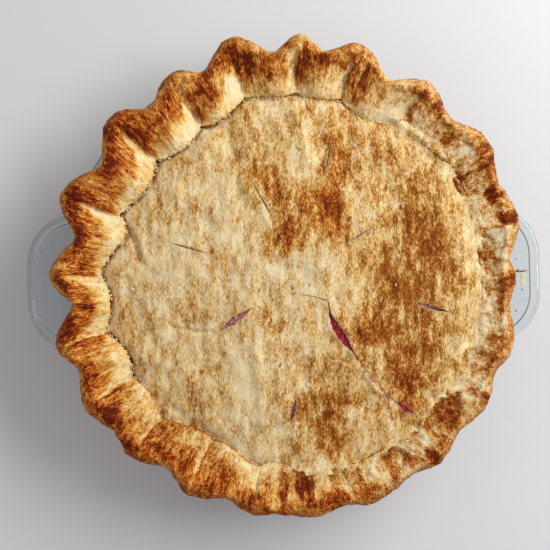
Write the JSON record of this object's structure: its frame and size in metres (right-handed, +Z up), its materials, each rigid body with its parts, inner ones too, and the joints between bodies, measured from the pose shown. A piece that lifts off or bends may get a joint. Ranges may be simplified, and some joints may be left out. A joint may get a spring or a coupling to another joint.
{
  "type": "strawberry rhubarb pie",
  "caption": "Round double-crust fruit pie with a fluted edge and a vented, domed top crust, baked in its clear oven-glass dish with tab handles.",
  "frame": {"origin": "middle of the dish's flat foot, on the surface it stands on", "axes": "+Z up, the two tab handles along X, and +Y the side at the top of the picture"},
  "size_m": [0.294, 0.2725, 0.0637],
  "materials": {
    "clear_glass": "clear pressed oven glass, gloss",
    "browned_crust": "flaky baked pastry, matt, browned on the folds",
    "fruit_filling": "cooked red fruit in thick juice, wet",
    "golden_crust": "flaky baked pastry, matt, pale gold with browned patches"
  },
  "bodies": {
    "root": {"glass_dish": "clear_glass", "bottom_crust": "browned_crust", "filling": "fruit_filling", "lid_crust": "golden_crust"}
  },
  "joints": []
}
